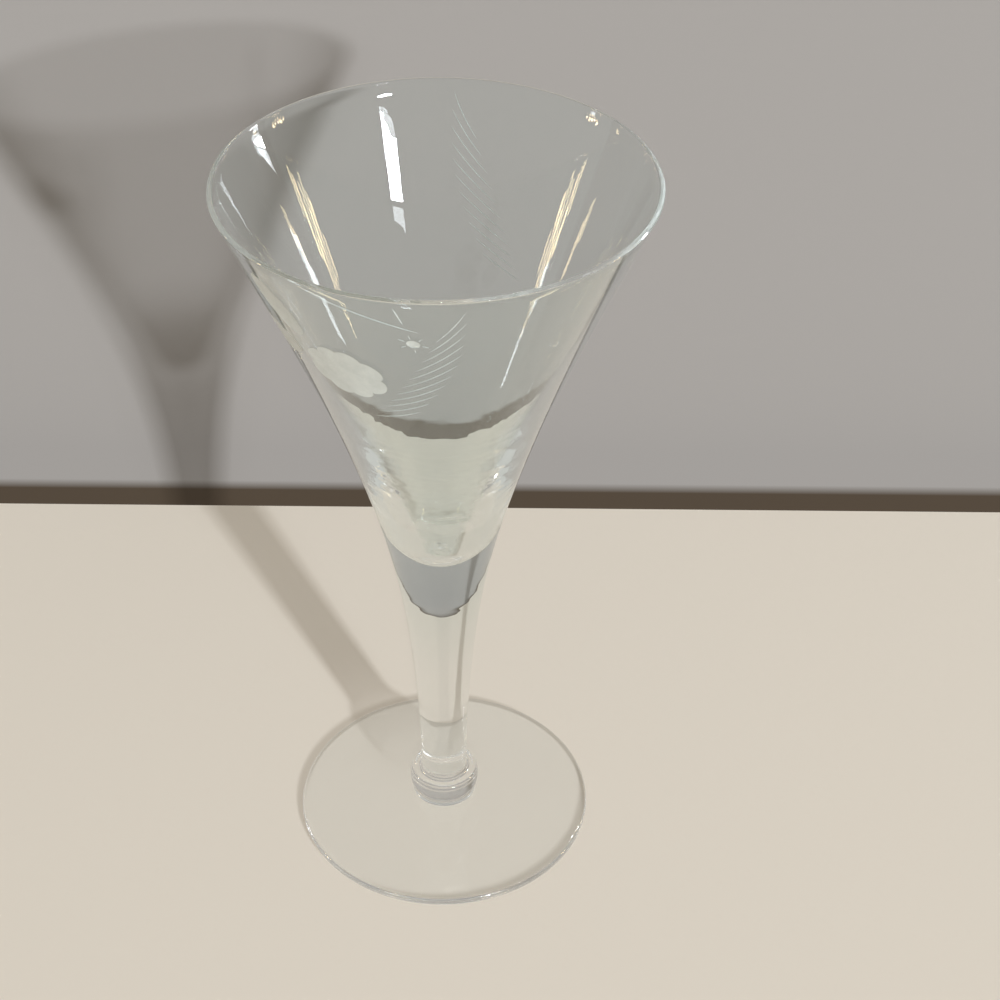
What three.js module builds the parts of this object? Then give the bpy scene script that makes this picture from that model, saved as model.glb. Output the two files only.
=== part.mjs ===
// A stemmed cocktail glass with a trumpet bowl, made hot from four gathers of clear glass: the bowl, a stem
// that carries on the bowl's outline, a knop below the stem, and the foot.
// Sizes are in millimetres. +Z is up, the axis of the glass is Z, and it stands on the plane z = 0.
// Each piece is turned about Z from an outline of (radius, height) points, then set on the one below it.
import * as THREE from 'three';

const degrees = Math.PI / 180;

// Foot: a thin disc with a rounded edge, hollowed underneath so that it stands on a flat ring
const footRadius = 30.7;
const footEdgeThickness = 2;
const footHeight = 5.25;
const footFillet = 0.6;
const restRingInnerRadius = 24;
const footHollowDepth = 0.75;

// Knop: a flattened ball between the foot and the stem, necked in where the stem stands on it
const knopHeight = 8.75;
const knopRadius = 7.2;
const knopSeatRadius = 6.5;
const knopShoulderHeight = 5.4;
const knopShoulderRadius = 6;
const knopNeckRadius = 5;

// Stem: solid, tapering down from the bowl. The leans are the outline's angles from the upright
const stemLength = 44;
const stemFootRadius = 4.75;
const stemTopRadius = 8.05;
const stemFootLean = 1 * degrees;
const bowlBaseLean = 8.1 * degrees;

// Bowl: the trumpet and its cavity, whose wall is thick at the floor and thins towards a rounded rim
const bowlHeight = 94;
const rimRadius = 39.6;
const rimWall = 1.05;
const rimLean = 23.4 * degrees;
const floorThickness = 13;
const floorWall = 6;
const floorRounding = 5;
const wallThinning = 2.6;

// How finely the round shapes are cut into flats
const sides = 60;
const rimSteps = 4;
const edgeSteps = 6;
const curveSteps = 7;
const stemSteps = 10;
const bowlSteps = 15;

// One full turn of an outline, as a named piece
function turned(name, outline, colour) {
  const geometry = new THREE.LatheGeometry(outline, sides);
  geometry.rotateX(90 * degrees);
  const glass = new THREE.MeshStandardMaterial({
    color: colour,
    roughness: 0.03,
    metalness: 0,
    transparent: true,
    opacity: 0.35,
  });
  const piece = new THREE.Mesh(geometry, glass);
  piece.name = name;
  return piece;
}

// A smooth flare between two radii. It climbs evenly, so a share of its length is that share of its height
function flare(bottomRadius, bottomLean, topRadius, topLean, height) {
  const reach = height / 3;
  return new THREE.CubicBezierCurve(
    new THREE.Vector2(bottomRadius, 0),
    new THREE.Vector2(bottomRadius + reach * Math.tan(bottomLean), reach),
    new THREE.Vector2(topRadius - reach * Math.tan(topLean), height - reach),
    new THREE.Vector2(topRadius, height),
  );
}

function makeFoot() {
  const edgeRound = footEdgeThickness / 2;
  const edgeCentre = footRadius - edgeRound;
  const filletCentre = knopSeatRadius + footFillet;
  const hollow = new THREE.Path();
  hollow.moveTo(0, footHollowDepth);
  hollow.quadraticCurveTo(restRingInnerRadius / 2, footHollowDepth, restRingInnerRadius, 0);
  const edge = new THREE.Path();
  edge.absarc(edgeCentre, edgeRound, edgeRound, -90 * degrees, 90 * degrees);
  const fillet = new THREE.Path();
  fillet.absarc(filletCentre, footHeight, footFillet, -90 * degrees, -180 * degrees, true);
  const outline = [
    ...hollow.getPoints(edgeSteps),
    ...edge.getPoints(edgeSteps / 2),
    ...fillet.getPoints(edgeSteps / 2),
    new THREE.Vector2(0, footHeight),
  ];
  return turned('foot', outline, 0xe4ebe6);
}

function makeKnop() {
  // Both handles of the ball's curve share a radius, chosen so that its middle reaches the knop's radius
  const bulge = (8 * knopRadius - knopSeatRadius - knopShoulderRadius) / 6;
  const side = new THREE.Path();
  side.moveTo(knopSeatRadius, 0);
  side.bezierCurveTo(
    bulge, knopShoulderHeight / 3,
    bulge, knopShoulderHeight,
    knopShoulderRadius, knopShoulderHeight,
  );
  side.quadraticCurveTo(knopNeckRadius, knopShoulderHeight, knopNeckRadius, knopHeight);
  const outline = [new THREE.Vector2(0, 0), ...side.getPoints(curveSteps), new THREE.Vector2(0, knopHeight)];
  return turned('knop', outline, 0xe2e9e5);
}

function makeStem() {
  const side = flare(stemFootRadius, stemFootLean, stemTopRadius, bowlBaseLean, stemLength);
  const outline = [new THREE.Vector2(0, 0), ...side.getPoints(stemSteps), new THREE.Vector2(0, stemLength)];
  return turned('stem', outline, 0xe6ece8);
}

function makeBowl() {
  const rimRound = rimWall / 2;
  const wallHeight = bowlHeight - rimRound;
  const side = flare(stemTopRadius, bowlBaseLean, rimRadius, rimLean, wallHeight);
  const rim = new THREE.Path();
  rim.absarc(rimRadius - rimRound, wallHeight, rimRound, 0, 180 * degrees);

  // The cavity is the outside less the wall, drawn in to the axis over the rounding of its floor
  const depth = wallHeight - floorThickness;
  const cavity = [];
  for (let step = bowlSteps - 1; step >= 0; step--) {
    const share = (step / bowlSteps) ** 2;
    const height = floorThickness + share * depth;
    const wall = rimWall + (floorWall - rimWall) * (1 - share) ** wallThinning;
    const risen = Math.min((height - floorThickness) / floorRounding, 1);
    const drawnIn = Math.sqrt(1 - (1 - risen) ** 2);
    const outside = side.getPoint(height / wallHeight).x;
    cavity.push(new THREE.Vector2((outside - wall) * drawnIn, height));
  }

  const outline = [
    new THREE.Vector2(0, 0),
    ...side.getPoints(bowlSteps),
    ...rim.getPoints(rimSteps / 2).slice(1),
    ...cavity,
  ];
  return turned('bowl', outline, 0xe8eeea);
}

const foot = makeFoot();
const knop = makeKnop();
const stem = makeStem();
const bowl = makeBowl();

// The gathers stand on one another, fused face to face
knop.position.z = footHeight;
stem.position.z = knop.position.z + knopHeight;
bowl.position.z = stem.position.z + stemLength;

const glass = new THREE.Group();
glass.name = 'cocktail_glass';
glass.add(foot, knop, stem, bowl);

export default glass;
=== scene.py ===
# %% [markdown]
# # A cocktail glass
# This is a drawn trumpet glass for short drinks. Bowl, stem, knop and foot are gathers of clear glass,
# fused while hot, and a cutting wheel has engraved a flower and leaves on the bowl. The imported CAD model
# gives every size and place, so each piece is made where its CAD solid stands, with finer curves and its
# real finish.

# %% Load the frame
import math

import bmesh
import bpy
from mathutils import Matrix, Vector
from mathutils.geometry import interpolate_bezier


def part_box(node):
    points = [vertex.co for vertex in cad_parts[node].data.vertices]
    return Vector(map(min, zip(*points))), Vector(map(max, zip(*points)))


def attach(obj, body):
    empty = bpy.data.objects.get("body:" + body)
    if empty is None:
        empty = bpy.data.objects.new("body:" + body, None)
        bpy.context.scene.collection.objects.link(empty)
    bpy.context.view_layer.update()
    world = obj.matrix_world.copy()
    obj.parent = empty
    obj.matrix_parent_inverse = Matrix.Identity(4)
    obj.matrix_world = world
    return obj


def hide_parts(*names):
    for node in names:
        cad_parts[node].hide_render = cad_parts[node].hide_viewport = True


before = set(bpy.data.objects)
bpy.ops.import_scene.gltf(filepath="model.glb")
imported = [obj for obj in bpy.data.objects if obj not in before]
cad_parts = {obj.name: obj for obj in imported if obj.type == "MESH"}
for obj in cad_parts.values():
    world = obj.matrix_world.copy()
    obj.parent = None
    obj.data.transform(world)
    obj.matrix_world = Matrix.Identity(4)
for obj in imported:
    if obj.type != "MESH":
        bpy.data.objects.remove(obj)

MM = 0.001
scene = bpy.context.scene
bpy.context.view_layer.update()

# %% [markdown]
# ## The camera
# The picture looks down into the bowl from arm's length, so the rim and the foot are two ellipses. How
# wide and how tall those ellipses are fixes the camera's distance, height and tilt. The camera comes
# first, because every later step is judged through it. Depth of field stays off, since all of the glass
# is in focus.

# %% Camera
lens_mm = 75.06
sensor_mm = 36
camera_place = Vector((0, -319.2, 328.6))
look_down = math.radians(37.69)
look_right = math.radians(2.06)
camera_roll = math.radians(0.49)

camera = bpy.data.objects.new("camera", bpy.data.cameras.new("camera"))
camera.data.lens = lens_mm
camera.data.sensor_width = sensor_mm
camera.matrix_world = (
    Matrix.Translation(camera_place * MM)
    @ Matrix.Rotation(-look_right, 4, "Z")
    @ Matrix.Rotation(math.radians(90) - look_down, 4, "X")
    @ Matrix.Rotation(camera_roll, 4, "Z")
)
scene.collection.objects.link(camera)
scene.camera = camera
print("camera", round(camera_place.length), "mm from the foot's centre")

# %% [markdown]
# ## One outline, one turn
# Hot glass is shaped while it spins, so every piece is round. Half of its section, drawn as a line of
# points from the axis out and back, is all that has to be drawn: the spin operator turns that line once
# about Z. A full spin needs use_merge, and the points on the axis are then merged, which closes the
# poles.
#
# Where two gathers are fused there is no surface at all in real glass. Each piece still has to be closed,
# so its flat joint faces get a slot of their own, for a finish that light passes unbent. The upper piece
# keeps a gap of five thousandths of a millimetre, so that no two faces lie in the same place.

# %% Turning helpers
CLEAR, JOINT, GROUND = range(3)
sides = 256
weld = 0.0001
joint_gap = 0.005


def turned(name, outline, joints):
    """Turns (radius, height) points in mm about Z. Joints are the heights of the fused faces."""
    shape = bmesh.new()
    points = [shape.verts.new((radius * MM, 0, height * MM)) for radius, height in outline]
    lines = [shape.edges.new(pair) for pair in zip(points, points[1:])]
    bmesh.ops.spin(
        shape, geom=points + lines, cent=(0, 0, 0), axis=(0, 0, 1),
        angle=math.tau, steps=sides, use_merge=True,
    )
    bmesh.ops.remove_doubles(shape, verts=shape.verts, dist=weld * MM)
    bmesh.ops.recalc_face_normals(shape, faces=shape.faces)
    for face in shape.faces:
        heights = [vertex.co.z / MM for vertex in face.verts]
        fused = any(max(abs(height - joint) for height in heights) < weld for joint in joints)
        face.material_index = JOINT if fused else CLEAR
        face.smooth = not fused
    for edge in shape.edges:
        edge.smooth = len({face.material_index for face in edge.link_faces}) == 1
    piece = bpy.data.objects.new(name, bpy.data.meshes.new(name))
    for slot in (CLEAR, JOINT, GROUND):
        piece.data.materials.append(None)
    shape.to_mesh(piece.data)
    shape.free()
    scene.collection.objects.link(piece)
    print(name, "has", len(piece.data.polygons), "faces")
    return piece


def arc(centre, radius, start, end, steps):
    """Points of a circle's arc between two angles in degrees."""
    angles = [math.radians(start + (end - start) * step / steps) for step in range(steps + 1)]
    return [(centre[0] + radius * math.cos(a), centre[1] + radius * math.sin(a)) for a in angles]


def bow(start, corner, end, steps):
    """Points of a curve that leaves start towards corner, and comes to end from it."""
    start, corner, end = Vector(start), Vector(corner), Vector(end)
    handles = start.lerp(corner, 2 / 3), end.lerp(corner, 2 / 3)
    return [tuple(point) for point in interpolate_bezier(start, *handles, end, steps + 1)]


# %% [markdown]
# ## Foot
# The foot is a thin disc, pressed out flat while hot. Its edge is fire-polished round, its top rises a
# little towards the middle, and underneath it is hollowed so that it stands on a ring. The hollow is a
# bow, the edge and the fillet under the knop are arcs, and the top is a straight line with a few steps
# for even shading.

# %% Foot
foot_low, foot_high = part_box("foot")
foot_radius = foot_high.x / MM
foot_top = foot_high.z / MM
foot_edge_round = 1
foot_fillet = 0.6
rest_ring_inside = 24
foot_hollow = 0.75
knop_seat = 6.5
arc_steps = 16

edge_middle = foot_radius - foot_edge_round
fillet_middle = knop_seat + foot_fillet
edge_arc = arc((edge_middle, foot_edge_round), foot_edge_round, -90, 90, arc_steps)
fillet_arc = arc((fillet_middle, foot_top), foot_fillet, -90, -180, arc_steps)
top_steps = 12
top_start = Vector(edge_arc[-1])
top_end = Vector(fillet_arc[0])
top_line = [top_start.lerp(top_end, step / top_steps) for step in range(1, top_steps)]
hollow = bow((0, foot_hollow), (rest_ring_inside / 2, foot_hollow), (rest_ring_inside, 0), arc_steps)
foot = turned("glass_foot", [*hollow, *edge_arc, *top_line, *fillet_arc, (0, foot_top)], [foot_top])

# %% [markdown]
# ## Knop
# A knop is a small ball of glass, flattened as the stem is set on it. Its side is one swelling curve from
# the seat on the foot to the shoulder, and a bow then necks it in to the stem, so that no step is left
# there.

# %% Knop
knop_low, knop_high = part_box("knop")
stem_low, stem_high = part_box("stem")
knop_radius = knop_high.x / MM
knop_top = knop_high.z / MM
knop_shoulder_height = 5.4
knop_shoulder_radius = 6
stem_foot_radius = 4.75
curve_steps = 24

knop_base = foot_top + joint_gap
shoulder = Vector((knop_shoulder_radius, foot_top + knop_shoulder_height))
swell = (8 * knop_radius - knop_seat - knop_shoulder_radius) / 6
ball = interpolate_bezier(
    Vector((knop_seat, knop_base)),
    Vector((swell, foot_top + knop_shoulder_height / 3)),
    Vector((swell, shoulder.y)),
    shoulder,
    curve_steps,
)
neck = bow(shoulder, (stem_foot_radius, shoulder.y), (stem_foot_radius, knop_top), curve_steps)
knop = turned("glass_knop", [(0, knop_base), *ball, *neck[1:], (0, knop_top)], [knop_base, knop_top])

# %% [markdown]
# ## Stem
# In a drawn glass the stem is pulled out of the bowl's own base, so one smooth flare runs through both. A
# flare here is its two ends, each with a radius, a height and a lean from the upright, and a cubic curve
# between them. The bowl starts with the lean that the stem ends with, which hides the joint.

# %% Stem
stem_top_radius = stem_high.x / MM
stem_top = stem_high.z / MM
stem_foot_lean = math.radians(1)
bowl_base_lean = math.radians(8.1)
stem_base = knop_top + joint_gap
stem_side = (stem_foot_radius, stem_base, stem_foot_lean), (stem_top_radius, stem_top, bowl_base_lean)


def flare_radius(flare, height):
    """The radius of a flare at a height."""
    (low_radius, low, low_lean), (high_radius, high, high_lean) = flare
    reach = (high - low) / 3
    share = (height - low) / (high - low)
    rest = 1 - share
    low_handle = low_radius + reach * math.tan(low_lean)
    high_handle = high_radius - reach * math.tan(high_lean)
    ends = low_radius * rest**3 + high_radius * share**3
    return ends + 3 * share * rest * (low_handle * rest + high_handle * share)


def flare_outline(flare, steps):
    """Points up a flare, from its low end to its high end."""
    low, high = flare[0][1], flare[1][1]
    heights = [low + (high - low) * step / steps for step in range(steps + 1)]
    return [(flare_radius(flare, height), height) for height in heights]


stem_steps = 32
stem_line = flare_outline(stem_side, stem_steps)
stem = turned("glass_stem", [(0, stem_base), *stem_line, (0, stem_top)], [stem_base, stem_top])

# %% [markdown]
# ## Bowl
# The bowl is a trumpet: solid glass at its base, then a wall that thins towards a rim that was melted
# round. The outside is a second flare. The cavity is the outside less the wall, drawn in to the axis over
# a rounded floor. The wall's thickness matters to the eye, because the thick base bends the light like a
# lens.

# %% Bowl
bowl_low, bowl_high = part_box("bowl")
rim_radius = bowl_high.x / MM
rim_top = bowl_high.z / MM
rim_wall = 1.05
rim_lean = math.radians(23.4)
floor_thickness = 13
floor_wall = 6
floor_rounding = 5
wall_thinning = 2.6
bowl_steps = 80

bowl_base = stem_top + joint_gap
rim_round = rim_wall / 2
wall_top = rim_top - rim_round
bowl_side = (stem_top_radius, bowl_base, bowl_base_lean), (rim_radius, wall_top, rim_lean)
rim_arc = arc((rim_radius - rim_round, wall_top), rim_round, 0, 180, arc_steps)
cavity_floor = stem_top + floor_thickness


def cavity_point(share):
    """A point on the inside of the bowl. Share goes from 0 at the floor's middle to 1 at the rim."""
    height = cavity_floor + share * (wall_top - cavity_floor)
    wall = rim_wall + (floor_wall - rim_wall) * (1 - share) ** wall_thinning
    risen = min((height - cavity_floor) / floor_rounding, 1)
    drawn_in = math.sqrt(1 - (1 - risen) ** 2)
    return (flare_radius(bowl_side, height) - wall) * drawn_in, height


cavity = [cavity_point((step / bowl_steps) ** 2) for step in range(bowl_steps - 1, -1, -1)]
bowl_line = flare_outline(bowl_side, bowl_steps)
bowl = turned("glass_bowl", [(0, bowl_base), *bowl_line, *rim_arc[1:], *cavity], [bowl_base])

# %% [markdown]
# ## The engraver's drawing
# The ornament is cut by hand with small spinning wheels: round-edged ones hollow out the petals, and a
# thin one with a sharp edge cuts the fine lines. It is drawn flat first, in millimetres, with X round the
# bowl and Y up it, and then laid on the wall. Each wheel mark is a cutter: a flattened ball for a petal,
# and a long thin four-sided spindle for a line, which leaves a groove that is deepest in its middle and
# runs out at its ends.

# %% Cutters
wheel_marks = bmesh.new()
sunk_share = 0.7
slope_step = 0.01
hollow_rings = 20
groove_sides = 4
groove_rings = 24


def bowl_lean(height):
    """How far the outside of the bowl leans from the upright at a height."""
    rise = flare_radius(bowl_side, height + slope_step) - flare_radius(bowl_side, height - slope_step)
    return math.atan2(rise, 2 * slope_step)


def lay_on_bowl(shape, azimuth, height):
    """Bends a flat drawing's shape onto the wall, at an azimuth from the front, and keeps it."""
    for vertex in shape.verts:
        across, up, out = vertex.co
        level = height + up * math.cos(bowl_lean(height))
        radius = flare_radius(bowl_side, level)
        lean = bowl_lean(level)
        angle = azimuth + across / radius
        spoke = Vector((math.sin(angle), -math.cos(angle), 0))
        normal = spoke * math.cos(lean) - Vector((0, 0, math.sin(lean)))
        vertex.co = (spoke * radius + Vector((0, 0, level)) + normal * out) * MM
    bmesh.ops.recalc_face_normals(shape, faces=shape.faces)
    for face in shape.faces:
        face.material_index = GROUND
        face.smooth = True
    mark = bpy.data.meshes.new("mark")
    shape.to_mesh(mark)
    shape.free()
    wheel_marks.from_mesh(mark)
    bpy.data.meshes.remove(mark)


def hollow_cutter(middle, angle, length, width, depth, points):
    """A round-edged wheel's mark: an oval hollow, turned by an angle about its middle."""
    shape = bmesh.new()
    tall = depth / sunk_share
    lift = tall - depth
    place = Matrix.Translation((*middle, lift)) @ Matrix.Rotation(angle, 4, "Z")
    size = Matrix.Diagonal((length / 2, width / 2, tall, 1))
    bmesh.ops.create_uvsphere(
        shape, u_segments=points, v_segments=hollow_rings, radius=1, matrix=place @ size,
    )
    return shape


def line_cutter(start, end, sag, width, depth):
    """A sharp wheel's mark from start to end: a groove whose middle lies below the straight line by sag."""
    shape = bmesh.new()
    start, end = Vector(start), Vector(end)
    run = end - start
    tall = depth / sunk_share
    along_x = Matrix.Rotation(math.radians(90), 4, "Y")
    size = Matrix.Diagonal((run.length / 2, width / sunk_share / 2, tall, 1))
    bmesh.ops.create_uvsphere(
        shape, u_segments=groove_sides, v_segments=groove_rings, radius=1, matrix=size @ along_x,
    )
    for vertex in shape.verts:
        vertex.co.y -= sag * (1 - (2 * vertex.co.x / run.length) ** 2)
    middle = start.lerp(end, 0.5)
    place = Matrix.Translation((*middle, tall - depth)) @ Matrix.Rotation(math.atan2(run.y, run.x), 4, "Z")
    bmesh.ops.transform(shape, matrix=place, verts=shape.verts)
    return shape


# %% [markdown]
# ## Flower
# The front spray has an open flower with eight round petals. A wheel would cut it petal by petal, but its
# frost runs through from one petal to the next, so here it is one flattened ball whose outline is drawn
# in between the petals. A slow wave makes the petals a little unequal, as they are when cut by hand.

# %% Flower
petals = 8
flower_middle = Vector((2, 0.8))
flower_width = 16.8
flower_height = 13.6
flower_points = 160
petal_depth = 0.2
petal_notch = 0.16
petal_turn = math.radians(24)
petal_unevenness = 0.03


def flower():
    """A wide hollow with a lobe for each petal, as a flat cutter."""
    shape = hollow_cutter(flower_middle, 0, flower_width, flower_height, petal_depth, flower_points)
    for vertex in shape.verts:
        reach = vertex.co.xy - flower_middle
        angle = math.atan2(reach.y, reach.x) - petal_turn
        lobe = math.sqrt(abs(math.cos(angle * petals / 2)))
        uneven = petal_unevenness * math.sin(2 * angle + 1)
        vertex.co.xy = flower_middle + reach * (1 - petal_notch * (1 - lobe) + uneven)
    return [shape]


# %% [markdown]
# ## Leaves
# On the flower's left are two long frosted ovals, made with the same round-edged wheel. On its right a
# leaf of hatched lines fans out. Engravers draw such a leaf as a row of single cuts between two edges
# that are never cut themselves, so a loop draws it from two bows. No two marks overlap, which keeps the
# cut clean.

# %% Leaves
low_leaf = {"middle": (-13, 2.5), "angle": math.radians(165), "length": 11}
high_leaf = {"middle": (-9, 13.5), "angle": math.radians(125), "length": 15}
leaf_width = 7
leaf_points = 60
hatch_inner_edge = (4.5, -10.5), (11, -2), (21.5, 14)
hatch_outer_edge = (14, -7), (26.5, 7), (29, 23)
hatch_lines = 11
hatch_sag = 0.4


def frosted_leaves():
    """Two ovals, as flat cutters."""
    shared = {"width": leaf_width, "depth": petal_depth, "points": leaf_points}
    return [hollow_cutter(**leaf, **shared) for leaf in (low_leaf, high_leaf)]


def hatched_leaf(width, depth):
    """Lines from the leaf's inner edge to its outer edge, as flat cutters."""
    starts = bow(*hatch_inner_edge, hatch_lines - 1)
    ends = bow(*hatch_outer_edge, hatch_lines - 1)
    return [line_cutter(start, end, hatch_sag, width, depth) for start, end in zip(starts, ends)]


# %% [markdown]
# ## Bud
# A small bud stands over the hatched leaf: a touch of the wheel for its heart, short rays round it, a
# stalk, and one long thin line that ties it to the flower.

# %% Bud
bud_heart = Vector((17.9, 13.5))
bud_width = 2.4
bud_height = 2.2
bud_depth = 0.1
bud_points = 32
ray_angles = (-20, 40, 95, 150, 205, 265)
ray_start = 1.35
ray_end = 2.6
stalk = (17.2, 23.5), (17.7, 18.9)
tie_line = (1.9, 23.2), (20.2, 16.6)
tie_sag = -0.4
fine_cut = {"width": 0.2, "depth": 0.08}
stalk_cut = {"width": 0.36, "depth": 0.14}


def bud():
    """The heart with its rays, the stalk and the tie line, as flat cutters."""
    marks = [hollow_cutter(bud_heart, 0, bud_width, bud_height, bud_depth, bud_points)]
    for angle in ray_angles:
        ray = Vector((math.cos(math.radians(angle)), math.sin(math.radians(angle))))
        marks.append(line_cutter(bud_heart + ray * ray_start, bud_heart + ray * ray_end, 0, **fine_cut))
    marks.append(line_cutter(*stalk, 0, **stalk_cut))
    marks.append(line_cutter(*tie_line, tie_sag, **stalk_cut))
    return marks


# %% [markdown]
# ## Laying the sprays on the bowl
# The whole spray sits at the front left. On the far side the hatched leaf comes again by itself, cut more
# lightly, and shows faintly through the bowl.

# %% Lay
spray_height = 128.5
front_azimuth = math.radians(-36)
back_azimuth = math.radians(132)
light_cut = {"width": 0.16, "depth": 0.05}
for mark in flower() + frosted_leaves() + hatched_leaf(**fine_cut) + bud():
    lay_on_bowl(mark, front_azimuth, spray_height)
for mark in hatched_leaf(**light_cut):
    lay_on_bowl(mark, back_azimuth, spray_height)
print("wheel marks:", len(wheel_marks.faces), "faces")

# %% [markdown]
# ## Cutting the bowl
# All the wheel marks are one mesh, so one Boolean modifier takes them off the wall. With as many slots on
# the cutter as on the bowl, each cut face keeps the cutter's slot. In metres, grooves a tenth of a
# millimetre deep are too small for the solver, and the cut comes out torn. So bowl and cutter are scaled
# to one unit a millimetre for the cut, and the bowl is scaled back. The result is kept as its own mesh.

# %% Cut
cutter = bpy.data.objects.new("cutter", bpy.data.meshes.new("cutter"))
wheel_marks.to_mesh(cutter.data)
wheel_marks.free()
scene.collection.objects.link(cutter)
for slot in (CLEAR, JOINT, GROUND):
    cutter.data.materials.append(None)
for mesh in (cutter.data, bowl.data):
    mesh.transform(Matrix.Scale(1 / MM, 4))
cut = bowl.modifiers.new("wheel cuts", "BOOLEAN")
cut.operation = "DIFFERENCE"
cut.object = cutter
cut.solver = "FAST"
cut.material_mode = "INDEX"
bowl.data = bpy.data.meshes.new_from_object(bowl.evaluated_get(bpy.context.evaluated_depsgraph_get()))
bowl.modifiers.clear()
bowl.data.transform(Matrix.Scale(MM, 4))
bpy.data.objects.remove(cutter)
ground_faces = sum(face.material_index == GROUND for face in bowl.data.polygons)
print("bowl:", len(bowl.data.polygons), "faces,", ground_faces, "of them ground")

# %% [markdown]
# ## Clean edges and clean glass
# Two things keep the carved bowl clean to look through. The borders of the cuts, and the sharp floors of
# the grooves, are marked sharp. The uncut wall gets the exact normals of its flare, whatever triangles
# the cut has left it with, so that nothing behind it looks bent near a groove.

# %% Edges and normals
ridge_angle = math.radians(25)
carved = bmesh.new()
carved.from_mesh(bowl.data)
for edge in carved.edges:
    kinds = {face.material_index for face in edge.link_faces}
    ridge = kinds == {GROUND} and edge.calc_face_angle(math.pi) > ridge_angle
    edge.smooth = len(kinds) == 1 and not ridge
print("open edges:", sum(not edge.is_manifold for edge in carved.edges))
carved.to_mesh(bowl.data)
carved.free()

normals = [Vector()] * len(bowl.data.loops)
for face in bowl.data.polygons:
    spoke = Vector((face.center.x, face.center.y, 0)).normalized()
    outside = face.normal.dot(spoke) > 0 and face.center.z < wall_top * MM
    if face.material_index == CLEAR and outside:
        for loop in face.loop_indices:
            place = bowl.data.vertices[bowl.data.loops[loop].vertex_index].co
            lean = bowl_lean(place.z / MM)
            spoke = Vector((place.x, place.y, 0)).normalized()
            normals[loop] = spoke * math.cos(lean) - Vector((0, 0, math.sin(lean)))
bowl.data.normals_split_custom_set(normals)
print("exact normals on", sum(normal.length > 0 for normal in normals), "corners")

# %% [markdown]
# ## Node helper and colours
# Every material is built from nodes. One function adds a node, sets its properties and fills its inputs,
# each with a value or with another node's output. Colours are written as sRGB hex, as a colour picker
# shows them, and another function turns them into the linear values that the shaders work in.


# %% Helpers
def linear(hex_colour):
    """An sRGB hex colour as linear red, green, blue and alpha."""
    parts = [int(hex_colour[place:place + 2], 16) / 255 for place in (1, 3, 5)]
    return (*(((part + 0.055) / 1.055) ** 2.4 for part in parts), 1)


def add(material, kind, inputs=None, **settings):
    """Adds a shader node to a material or world. Inputs are values, or outputs that feed them."""
    made = material.node_tree.nodes.new("ShaderNode" + kind)
    for name, value in settings.items():
        setattr(made, name, value)
    for name, value in (inputs or {}).items():
        if isinstance(value, bpy.types.NodeSocket):
            material.node_tree.links.new(value, made.inputs[name])
        else:
            made.inputs[name].default_value = value
    return made


def empty_material(name):
    """A material with no nodes yet."""
    material = bpy.data.materials.new(name)
    material.use_nodes = True
    material.node_tree.nodes.clear()
    return material


# %% [markdown]
# ## Clear glass
# Soda-lime glass, blown and fire-polished, is smooth but never quite even. Faint rings of unevenness run
# round it. They are strongest low down, where they ripple what is seen through the thick base, and calm
# near the rim, so that the streaks of light there stay whole. Handling leaves smears, which take away a
# little of the polish.

# %% Clear glass surface
clear_glass = empty_material("clear soda-lime glass")
ring_spacing = 6
ring_length = 13
ring_height = 0.1
wavy_below = 90
calm_above = 118
calm_share = 0.12
smear_size = 9
smear_roughness = 0.03

place = add(clear_glass, "TexCoord").outputs["Object"]
height = add(clear_glass, "SeparateXYZ", {0: place}).outputs["Z"]
ring_scale = (1 / (ring_length * MM), 1 / (ring_length * MM), 1 / (ring_spacing * MM))
ring_space = add(clear_glass, "Mapping", {"Vector": place, "Scale": ring_scale})
rings = add(clear_glass, "TexNoise", {"Vector": ring_space.outputs[0], "Scale": 1, "Detail": 2})
wobble = add(clear_glass, "MapRange", {
    "Value": height, "From Min": wavy_below * MM, "From Max": calm_above * MM,
    "To Min": 1, "To Max": calm_share,
})
uneven = add(clear_glass, "Bump", {
    "Height": rings.outputs[0], "Strength": wobble.outputs[0], "Distance": ring_height * MM,
})
smears = add(clear_glass, "TexNoise", {"Vector": place, "Scale": 1 / (smear_size * MM), "Detail": 3})
polish = add(clear_glass, "MapRange", {
    "Value": smears.outputs[0], "From Min": 0.55, "From Max": 0.85, "To Min": 0, "To Max": smear_roughness,
})
print("rings every", ring_spacing, "mm, smears of", smear_size, "mm")

# %% [markdown]
# ## Tint
# The iron in common glass makes it faintly green through its thickness. Here the tint goes by height:
# nearly none in foot and stem, most in the thick base of the bowl, and a little in the wall. An absorbing
# volume would tint by the length of each path, but four closed pieces that touch would each need one, and
# a tint on the surface gives the eye much the same.

# %% Tint and glass shader
glass_ior = 1.52
tint_low = 40
tint_high = 115
greenest = 0.33
tint_heights = add(clear_glass, "MapRange", {
    "Value": height, "From Min": tint_low * MM, "From Max": tint_high * MM,
})
tint = add(clear_glass, "ValToRGB", {"Fac": tint_heights.outputs[0]})
tint.color_ramp.elements[0].color = linear("#F9FBFB")
tint.color_ramp.elements[1].color = linear("#F4F8F7")
tint.color_ramp.elements.new(greenest).color = linear("#EBF2F1")
glass_shader = add(clear_glass, "BsdfPrincipled", {
    "Base Color": tint.outputs[0],
    "Roughness": polish.outputs[0],
    "IOR": glass_ior,
    "Transmission Weight": 1,
    "Normal": uneven.outputs[0],
})
print("tint from", tint_low, "to", tint_high, "mm")

# %% [markdown]
# ## The pale shadow
# A glass's shadow is pale, with darker edges where light grazes the wall, and darker again behind solid
# glass. To a path tracer clear glass stops the lamps' light, so its shadow would be dark. The shader
# therefore works out how much light each place lets through: by the angle to the wall, and by the
# distance from the axis, since the glass near the axis is the solid stem and base. The flat foot lets all
# of it through but for its rolled edge, which draws a thin line on the floor.

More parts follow.
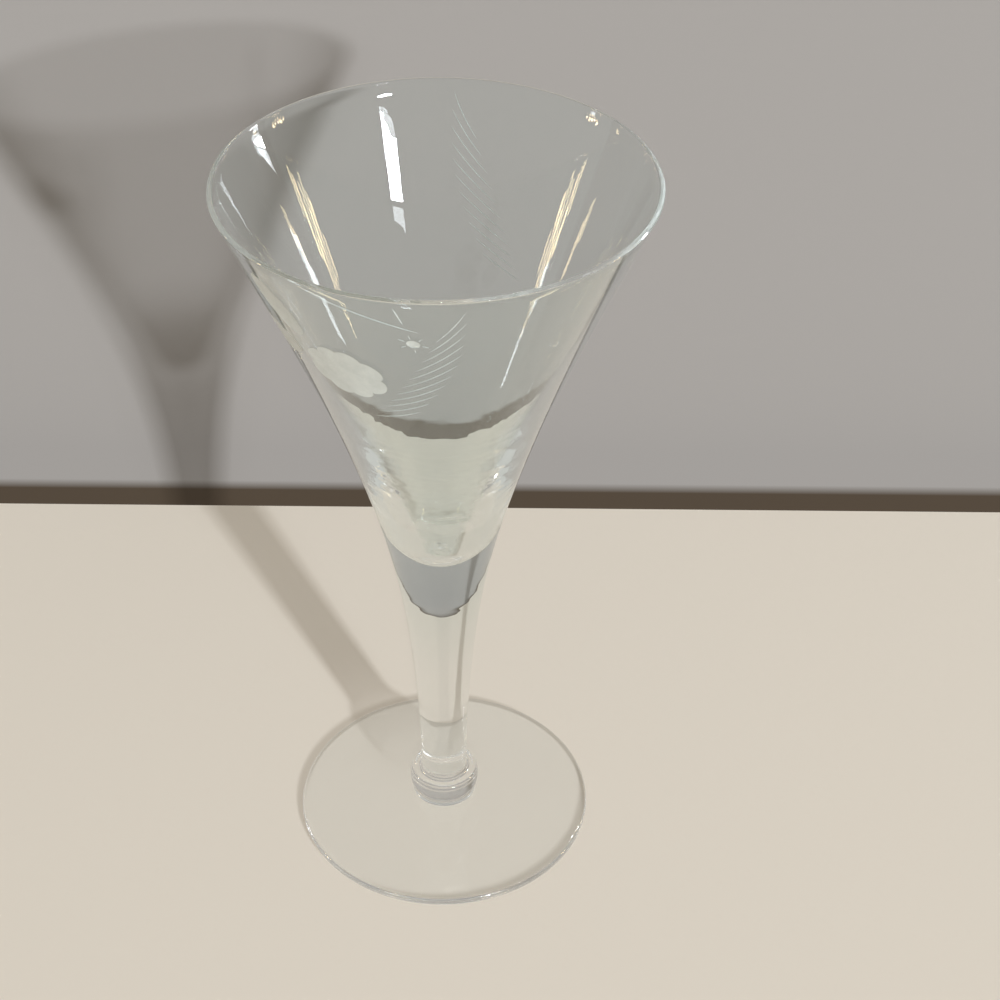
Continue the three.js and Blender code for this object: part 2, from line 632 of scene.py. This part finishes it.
# %% Shadow strength
face_on_light = 0.89
grazing_light = 0.5
solid_light = 0.65
solid_inside = 9
solid_outside = 14
foot_end = 4
stem_begin = 16
edge_inner = foot_radius - 1.1
edge_outer = foot_radius - 0.8
edge_line_low = 0.7
edge_line_high = 1.2
edge_line_shade = 0.5

graze = add(clear_glass, "LayerWeight", {"Blend": 0.35})
shade = add(clear_glass, "MapRange", {
    "Value": graze.outputs["Facing"], "From Min": 0.2, "From Max": 0.9,
    "To Min": face_on_light, "To Max": grazing_light,
})
around_axis = add(clear_glass, "VectorMath", {0: place, 1: (1, 1, 0)}, operation="MULTIPLY")
from_axis = add(clear_glass, "VectorMath", {0: around_axis.outputs[0]}, operation="LENGTH").outputs["Value"]
solid = add(clear_glass, "MapRange", {
    "Value": from_axis, "From Min": solid_inside * MM, "From Max": solid_outside * MM,
    "To Min": solid_light, "To Max": 1,
})
dimmed = add(clear_glass, "Math", {0: shade.outputs[0], 1: solid.outputs[0]}, operation="MULTIPLY")
foot_edge = add(clear_glass, "MapRange", {
    "Value": from_axis, "From Min": edge_inner * MM, "From Max": edge_outer * MM,
    "To Min": 0, "To Max": edge_line_shade,
})
edge_low = add(clear_glass, "MapRange", {
    "Value": height, "From Min": edge_line_low * MM, "From Max": edge_line_high * MM,
    "To Min": 1, "To Max": 0,
})
edge_parts = {0: foot_edge.outputs[0], 1: edge_low.outputs[0]}
edge_shade = add(clear_glass, "Math", edge_parts, operation="MULTIPLY")
foot_clear = add(clear_glass, "Math", {0: 1, 1: edge_shade.outputs[0]}, operation="SUBTRACT")
above_foot = add(clear_glass, "MapRange", {
    "Value": height, "From Min": foot_end * MM, "From Max": stem_begin * MM,
})
let_through = add(clear_glass, "Mix", {
    "Factor": above_foot.outputs[0], "A": foot_clear.outputs[0], "B": dimmed.outputs[0],
})
print("edge line from", round(edge_inner, 2), "to", round(edge_outer, 2), "mm out")

# %% [markdown]
# ## One glass for each kind of ray
# The Light Path node tells the rays apart. What the camera sees, directly or in a reflection, is glass.
# Rays towards the lamps pass straight through the pale shadow's shader, and light that floor and backdrop
# scatter among themselves passes as if the glass weren't there.

# %% Clear glass output
pale = add(clear_glass, "BsdfTransparent", {"Color": let_through.outputs[0]})
clear = add(clear_glass, "BsdfTransparent", {"Color": linear("#FFFFFF")})
rays = add(clear_glass, "LightPath").outputs
to_lamps = add(clear_glass, "MixShader", {
    0: rays["Is Shadow Ray"], 1: glass_shader.outputs[0], 2: pale.outputs[0],
})
to_floor = add(clear_glass, "MixShader", {
    0: rays["Is Diffuse Ray"], 1: to_lamps.outputs[0], 2: clear.outputs[0],
})
add(clear_glass, "OutputMaterial", {"Surface": to_floor.outputs[0]})
print(clear_glass.name, "has", len(clear_glass.node_tree.nodes), "nodes")

# %% [markdown]
# ## Fused joint
# Inside the glass, where two gathers became one, light goes straight on. A Transparent shader does that.

# %% Fused joint
fused_joint = empty_material("fused joint")
through = add(fused_joint, "BsdfTransparent", {"Color": linear("#FFFFFF")})
add(fused_joint, "OutputMaterial", {"Surface": through.outputs[0]})

# %% [markdown]
# ## Ground glass
# A stone or copper wheel leaves the cut unpolished. The tiny chips scatter light, so the cut is a pale
# frost, half see-through, with a fine grain and faint clouds where the wheel pressed unevenly. Real grit
# leaves pits of about a twentieth of a millimetre, too fine for the picture, so the grain is drawn at a
# quarter of one.

# %% Ground glass
ground_glass = empty_material("ground glass")
grit_size = 0.25
grit_depth = 0.02
cloud_size = 3
see_through = 0.55
fine_roughness = 0.45
coarse_roughness = 0.7

place = add(ground_glass, "TexCoord").outputs["Object"]
grit = add(ground_glass, "TexNoise", {"Vector": place, "Scale": 1 / (grit_size * MM), "Detail": 2})
clouds = add(ground_glass, "TexNoise", {"Vector": place, "Scale": 1 / (cloud_size * MM), "Detail": 3})
frost = add(ground_glass, "ValToRGB", {"Fac": clouds.outputs[0]})
frost.color_ramp.elements[0].position = 0.3
frost.color_ramp.elements[0].color = linear("#A6B0AC")
frost.color_ramp.elements[1].position = 0.7
frost.color_ramp.elements[1].color = linear("#B8C2BE")
bite = add(ground_glass, "MapRange", {
    "Value": grit.outputs[0], "From Min": 0.3, "From Max": 0.7,
    "To Min": fine_roughness, "To Max": coarse_roughness,
})
pits = add(ground_glass, "Bump", {"Height": grit.outputs[0], "Strength": 0.4, "Distance": grit_depth * MM})
ground_shader = add(ground_glass, "BsdfPrincipled", {
    "Base Color": frost.outputs[0],
    "Roughness": bite.outputs[0],
    "IOR": glass_ior,
    "Transmission Weight": see_through,
    "Normal": pits.outputs[0],
})
add(ground_glass, "OutputMaterial", {"Surface": ground_shader.outputs[0]})
print(ground_glass.name, "has", len(ground_glass.node_tree.nodes), "nodes")

# %% [markdown]
# ## Dressing the pieces
# Each piece rides on the one body, takes the place of its CAD node, which is hidden, and gets the glass
# finishes in its slots. The slots on the mesh are in the order that the faces were numbered in: clear,
# joint, ground.

# %% Dress
for node, piece in {"foot": foot, "knop": knop, "stem": stem, "bowl": bowl}.items():
    for slot, material in {CLEAR: clear_glass, JOINT: fused_joint, GROUND: ground_glass}.items():
        piece.data.materials[slot] = material
    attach(piece, "root")
    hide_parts(node)
    print("dressed", piece.name, "in", len(piece.data.materials), "materials")

# %% [markdown]
# ## Floor and backdrop
# Clear glass has no look of its own: it shows its surroundings, bent. So the stage keeps the plain tones
# that the glass stands among, a pale floor that ends a hand's breadth behind it, a narrow gap whose shadow
# is painted on the backdrop's foot as a dark brown band, and a grey backdrop. Both sheets are seen from
# one side only, so that they don't hide the glass from a camera behind them.

# %% Stage sheets
def stage_sheet(name, colour, size, place):
    """A flat sheet of the stage with a plain matt colour, seen only from its front."""
    shape = bmesh.new()
    spread = place @ Matrix.Diagonal((*size, 1, 1))
    bmesh.ops.create_grid(shape, x_segments=1, y_segments=1, size=0.5, matrix=spread)
    sheet = bpy.data.objects.new(name, bpy.data.meshes.new(name))
    shape.to_mesh(sheet.data)
    shape.free()
    scene.collection.objects.link(sheet)
    paint = empty_material(name)
    matt = add(paint, "BsdfPrincipled", {
        "Base Color": colour(paint), "Roughness": 0.85, "Specular IOR Level": 0.2,
    })
    back = add(paint, "NewGeometry").outputs["Backfacing"]
    unseen = add(paint, "BsdfTransparent")
    front_only = add(paint, "MixShader", {0: back, 1: matt.outputs[0], 2: unseen.outputs[0]})
    add(paint, "OutputMaterial", {"Surface": front_only.outputs[0]})
    sheet.data.materials.append(paint)
    return sheet


# Painted shade: below these heights in mm the backdrop is painted dark brown, for the shadow in the gap
# behind the floor.
painted_gap_shade_dark = -14
painted_gap_shade_gone = -11


def floor_colour(paint):
    """One pale warm tone."""
    return linear("#DBD4C7")


def backdrop_colour_and_gap_shade(paint):
    """Grey, with painted shade at its foot: dark brown where it stands in the gap behind the floor, for the
    shadow there.
    """
    height = add(paint, "SeparateXYZ", {0: add(paint, "TexCoord").outputs["Object"]}).outputs["Z"]
    rise = add(paint, "MapRange", {"Value": height, "From Min": painted_gap_shade_dark * MM, "From Max": painted_gap_shade_gone * MM})
    painted_gap_shade = add(paint, "ValToRGB", {"Fac": rise.outputs[0]})
    # The dark end is painted shadow, the grey end is the backdrop's own colour.
    painted_gap_shade.color_ramp.elements[0].color = linear("#3E352B")
    painted_gap_shade.color_ramp.elements[1].color = linear("#7E7B77")
    return painted_gap_shade.outputs[0]


# %% [markdown]
# ## Setting the stage
# The floor lies a tenth of a millimetre under the foot, so that the two never share a place. Floor and
# backdrop turn together by two degrees, because the camera doesn't look at their edges quite squarely.

# %% Stage
floor_drop = 0.1
floor_back = 103.2
stage_gap = 25
stage_width = 1400
stage_depth = 900
backdrop_height = 700
backdrop_foot = -60
edge_turn = math.radians(-2.1)

turn = Matrix.Translation(Vector((0, floor_back, 0)) * MM) @ Matrix.Rotation(edge_turn, 4, "Z")
floor_place = turn @ Matrix.Translation(Vector((0, -stage_depth / 2, -floor_drop)) * MM)
stage_sheet("floor", floor_colour, (stage_width * MM, stage_depth * MM), floor_place)
backdrop_middle = Vector((0, stage_gap, backdrop_foot + backdrop_height / 2))
backdrop_place = turn @ Matrix.Translation(backdrop_middle * MM) @ Matrix.Rotation(math.radians(90), 4, "X")
stage_sheet("backdrop", backdrop_colour_and_gap_shade, (stage_width * MM, backdrop_height * MM), backdrop_place)
print("floor ends", floor_back, "mm behind the axis")

# %% [markdown]
# ## Daylight
# The main light comes from the front right and far off, so it falls evenly on the floor and throws the
# shadow to the back left. A lamp that small and strong would burn out every edge that mirrors it, so the
# key lights matt surfaces alone. A wider and weaker window in the same direction is what the glass
# mirrors: it gives the white streak down the inside of the bowl. Places and sizes of lamps are in metres.

# %% Daylight
def lamp(name, place, target, size, watts, colour):
    """A rectangular lamp, aimed at a target."""
    light = bpy.data.lights.new(name, "AREA")
    light.shape = "RECTANGLE"
    light.size, light.size_y = size
    light.energy = watts
    light.color = linear(colour)[:3]
    holder = bpy.data.objects.new(name, light)
    holder.location = place
    holder.rotation_euler = (Vector(target) - Vector(place)).to_track_quat("-Z", "Y").to_euler()
    scene.collection.objects.link(holder)
    return holder


glass_middle = (0, 0, 0.1)
daylight = "#F4F8FF"
key = lamp("key", (2.92, -5.78, 2.1), glass_middle, (0.27, 0.203), 680, daylight)
key.visible_glossy = False
key.visible_transmission = False
lamp("window", (2.9, -5.77, 2.153), glass_middle, (0.81, 0.304), 120, daylight)
lamp("ceiling", (0.02, -1.18, 1.02), glass_middle, (0.06, 0.06), 3, "#FFFCF6")
print("key", round(key.location.length, 2), "m from the glass")

# %% [markdown]
# ## Lamps for the streaks
# A glass bowl is drawn by what it mirrors. Each narrow lamp at one side gives a streak on the opposite
# inner wall, and the higher the lamp, the higher the streak. The gold lamps are rows of thin bulbs of
# unequal height, which splits their streak into strokes. None of them lights the matt stage, so they cast
# no second shadow.

# %% Streak lamps
bowl_middle = (0, 0, 0.12)
gold = "#FFE3B4"
cool = "#F6F8FF"
outer_strip = (0.012, 0.026)
streaks = [
    lamp("left outer strip", (-0.3, 0.115, 0.125), bowl_middle, outer_strip, 0.008, gold),
    lamp("right outer strip", (0.3, 0.105, 0.125), bowl_middle, outer_strip, 0.008, gold),
    lamp("left low strip", (-0.7, -0.01, 0.085), bowl_middle, (0.035, 0.07), 0.13, cool),
    lamp("right low strip", (0.3, 0.1, 0.104), bowl_middle, (0.022, 0.04), 0.14, cool),
    lamp("right glint", (0.3, 0.1, 0.19), bowl_middle, (0.03, 0.05), 0.42, cool),
]

bulb_row_distance = 0.7
bulb_width = 0.012
bulb_watts_per_area = 110
bulb_spans = {
    -0.055: (0.18, 0.21),
    -0.03: (0.15, 0.23),
    -0.01: (0.115, 0.215),
    0.012: (0.13, 0.19),
    0.035: (0.17, 0.225),
}
for side in (-bulb_row_distance, bulb_row_distance):
    for along, (low, high) in bulb_spans.items():
        size = (bulb_width, high - low)
        watts = bulb_watts_per_area * bulb_width * (high - low)
        streaks.append(lamp("gold bulb", (side, along, (low + high) / 2), bowl_middle, size, watts, gold))
for streak in streaks:
    streak.visible_diffuse = False
print(len(streaks), "lamps for streaks")

# %% [markdown]
# ## World
# The rest is an even pale studio. It lights matt surfaces less than the glass sees of it, which keeps the
# shadow clear while rim and foot still have something bright to mirror. Glass hands light on many times
# inside its thick base, so the paths may be long.

# %% World
light_paths = 256
world = bpy.data.worlds.new("studio")
world.use_nodes = True
world.node_tree.nodes.clear()
scene.world = world
seen = add(world, "Background", {"Color": linear("#FAFBF6"), "Strength": 0.62})
lit_by = add(world, "Background", {"Color": linear("#FFF0DC"), "Strength": 0.36})
rays = add(world, "LightPath").outputs
studio = add(world, "MixShader", {0: rays["Is Diffuse Ray"], 1: seen.outputs[0], 2: lit_by.outputs[0]})
add(world, "OutputWorld", {"Surface": studio.outputs[0]})
scene.view_settings.view_transform = "Standard"
scene.cycles.max_bounces = light_paths
scene.cycles.transmission_bounces = light_paths
scene.cycles.glossy_bounces = light_paths
scene.cycles.transparent_max_bounces = light_paths
print("paths of up to", light_paths, "bounces")
